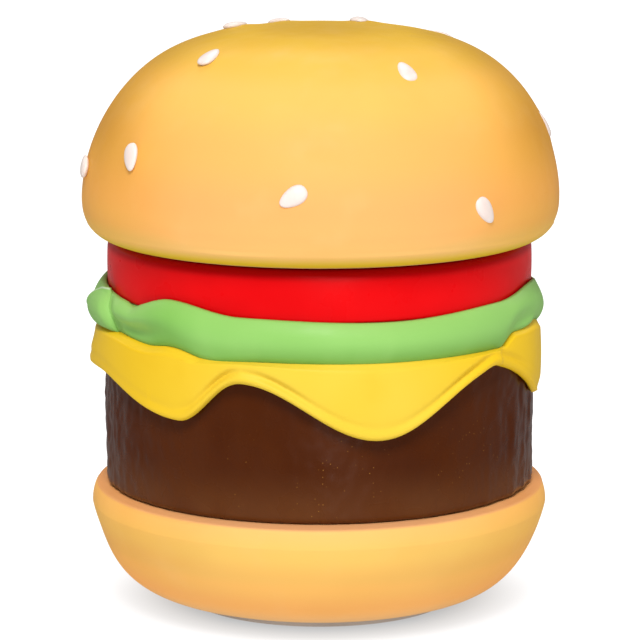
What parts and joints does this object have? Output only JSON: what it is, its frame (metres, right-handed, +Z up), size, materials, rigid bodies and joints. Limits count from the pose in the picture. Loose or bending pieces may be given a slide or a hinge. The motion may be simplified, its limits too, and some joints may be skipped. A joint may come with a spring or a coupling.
{
  "type": "novelty telephone",
  "caption": "Hamburger-shaped flip telephone: the top bun hinges open as the earpiece lid over a keypad, with food layers as the body.",
  "frame": {"origin": "centre of the foot pad's underside, on the table", "axes": "+Z up through the top of the bun, -Y towards the front, the lid's hinge at the rear on +Y, +X to the right seen from the front"},
  "size_m": [0.12, 0.122, 0.1465],
  "materials": {
    "bun_crust": "satin moulded crust",
    "seed_cream": "satin",
    "inner_plastic": "fine matt grain",
    "screw_steel": "zinc plated",
    "black_rubber": "matt",
    "lead_sleeve": "matt sleeve",
    "foam_grey": "foam",
    "plated_steel": "plated",
    "cone_paper": "pressed paper",
    "magnet_dark": "ground ferrite",
    "hinge_plastic": "fine matt grain",
    "bush_brass": "turned",
    "tomato_red": "satin",
    "lettuce_green": "satin",
    "cheese_yellow": "satin",
    "patty_brown": "satin with gold fleck",
    "chassis_grey": "fine matt grain",
    "silicone_grey": "matt silicone",
    "board_green": "solder resist",
    "component_black": "moulded",
    "key_plastic": "satin key caps",
    "function_key_red": "satin key caps",
    "panel_dark": "fine matt grain",
    "jack_black": "moulded",
    "knob_cream": "ribbed",
    "ballast_iron": "zinc plated plate"
  },
  "bodies": {
    "phone_body": {"hinge_bracket": "hinge_plastic", "hinge_pin": "screw_steel", "hinge_washers": "screw_steel", "body_lead": "lead_sleeve", "tomato_slice": "tomato_red", "lettuce_leaf": "lettuce_green", "cheese_slice": "cheese_yellow", "patty_shell": "patty_brown", "bottom_bun_shell": "bun_crust", "chassis": "chassis_grey", "keypad_deck": "inner_plastic", "keypad_mat": "silicone_grey", "keypad_board": "board_green", "deck_screws": "screw_steel", "board_screws": "screw_steel", "base_screws": "screw_steel", "main_board": "board_green", "board_components": "component_black", "ringer_buzzer": "component_black", "ribbon_cable": "lead_sleeve", "microphone": "plated_steel", "mic_boot": "black_rubber", "hook_switch_body": "component_black", "hook_spring": "screw_steel", "rear_panel": "panel_dark", "line_jack": "jack_black", "slide_switch_bodies": "component_black", "base_cover": "bun_crust", "foot_pad": "black_rubber", "ballast_weight": "ballast_iron"},
    "lid": {"top_bun_shell": "bun_crust", "sesame_seeds": "seed_cream", "lid_face_plate": "inner_plastic", "lid_screws": "screw_steel", "lid_bumpers": "black_rubber", "lid_lead": "lead_sleeve", "speaker_gasket": "foam_grey", "speaker_frame": "plated_steel", "speaker_diaphragm": "cone_paper", "speaker_magnet": "magnet_dark", "speaker_retainer": "plated_steel", "hinge_bush": "bush_brass"},
    "hook_plunger_body": {"hook_plunger": "key_plastic"},
    "ringer_knob_body": {"ringer_switch_knob": "knob_cream"},
    "tone_knob_body": {"tone_switch_knob": "knob_cream"},
    "key_1_body": {"key_1": "key_plastic"},
    "key_2_body": {"key_2": "key_plastic"},
    "key_3_body": {"key_3": "key_plastic"},
    "key_4_body": {"key_4": "key_plastic"},
    "key_5_body": {"key_5": "key_plastic"},
    "key_6_body": {"key_6": "key_plastic"},
    "key_7_body": {"key_7": "key_plastic"},
    "key_8_body": {"key_8": "key_plastic"},
    "key_9_body": {"key_9": "key_plastic"},
    "key_star_body": {"key_star": "key_plastic"},
    "key_0_body": {"key_0": "key_plastic"},
    "key_hash_body": {"key_hash": "key_plastic"},
    "key_redial_body": {"key_redial": "function_key_red"},
    "key_flash_body": {"key_flash": "function_key_red"},
    "key_mute_body": {"key_mute": "function_key_red"}
  },
  "joints": [
    {"name": "bun_lid_hinge", "type": "hinge", "parent": "phone_body", "child": "lid", "pos_m": [0, 0.0572, 0.0915], "axis": [-1, 0, 0], "range_deg": [0, 125]},
    {"name": "hook_plunger_slide", "type": "slide", "parent": "phone_body", "child": "hook_plunger_body", "axis": [0, 0, 1], "range_m": [0, 0.003], "deforming": ["hook_spring"]},
    {"name": "ringer_switch_slide", "type": "slide", "parent": "phone_body", "child": "ringer_knob_body", "axis": [1, 0, 0], "range_m": [0, 0.004]},
    {"name": "tone_switch_slide", "type": "slide", "parent": "phone_body", "child": "tone_knob_body", "axis": [1, 0, 0], "range_m": [0, 0.004]},
    {"name": "key_1_press", "type": "slide", "parent": "phone_body", "child": "key_1_body", "axis": [0, 0, -1], "range_m": [0, 0.0012], "stiffness_N_per_m": 600},
    {"name": "key_2_press", "type": "slide", "parent": "phone_body", "child": "key_2_body", "axis": [0, 0, -1], "range_m": [0, 0.0012], "stiffness_N_per_m": 600},
    {"name": "key_3_press", "type": "slide", "parent": "phone_body", "child": "key_3_body", "axis": [0, 0, -1], "range_m": [0, 0.0012], "stiffness_N_per_m": 600},
    {"name": "key_4_press", "type": "slide", "parent": "phone_body", "child": "key_4_body", "axis": [0, 0, -1], "range_m": [0, 0.0012], "stiffness_N_per_m": 600},
    {"name": "key_5_press", "type": "slide", "parent": "phone_body", "child": "key_5_body", "axis": [0, 0, -1], "range_m": [0, 0.0012], "stiffness_N_per_m": 600, "deforming": ["keypad_mat"]},
    {"name": "key_6_press", "type": "slide", "parent": "phone_body", "child": "key_6_body", "axis": [0, 0, -1], "range_m": [0, 0.0012], "stiffness_N_per_m": 600},
    {"name": "key_7_press", "type": "slide", "parent": "phone_body", "child": "key_7_body", "axis": [0, 0, -1], "range_m": [0, 0.0012], "stiffness_N_per_m": 600},
    {"name": "key_8_press", "type": "slide", "parent": "phone_body", "child": "key_8_body", "axis": [0, 0, -1], "range_m": [0, 0.0012], "stiffness_N_per_m": 600},
    {"name": "key_9_press", "type": "slide", "parent": "phone_body", "child": "key_9_body", "axis": [0, 0, -1], "range_m": [0, 0.0012], "stiffness_N_per_m": 600},
    {"name": "key_star_press", "type": "slide", "parent": "phone_body", "child": "key_star_body", "axis": [0, 0, -1], "range_m": [0, 0.0012], "stiffness_N_per_m": 600},
    {"name": "key_0_press", "type": "slide", "parent": "phone_body", "child": "key_0_body", "axis": [0, 0, -1], "range_m": [0, 0.0012], "stiffness_N_per_m": 600},
    {"name": "key_hash_press", "type": "slide", "parent": "phone_body", "child": "key_hash_body", "axis": [0, 0, -1], "range_m": [0, 0.0012], "stiffness_N_per_m": 600},
    {"name": "key_redial_press", "type": "slide", "parent": "phone_body", "child": "key_redial_body", "axis": [0, 0, -1], "range_m": [0, 0.0012], "stiffness_N_per_m": 600},
    {"name": "key_flash_press", "type": "slide", "parent": "phone_body", "child": "key_flash_body", "axis": [0, 0, -1], "range_m": [0, 0.0012], "stiffness_N_per_m": 600},
    {"name": "key_mute_press", "type": "slide", "parent": "phone_body", "child": "key_mute_body", "axis": [0, 0, -1], "range_m": [0, 0.0012], "stiffness_N_per_m": 600}
  ],
  "couplings": [
    {"joint": "hook_plunger_slide", "follows": "bun_lid_hinge", "m_per_rad": 0.00137}
  ]
}
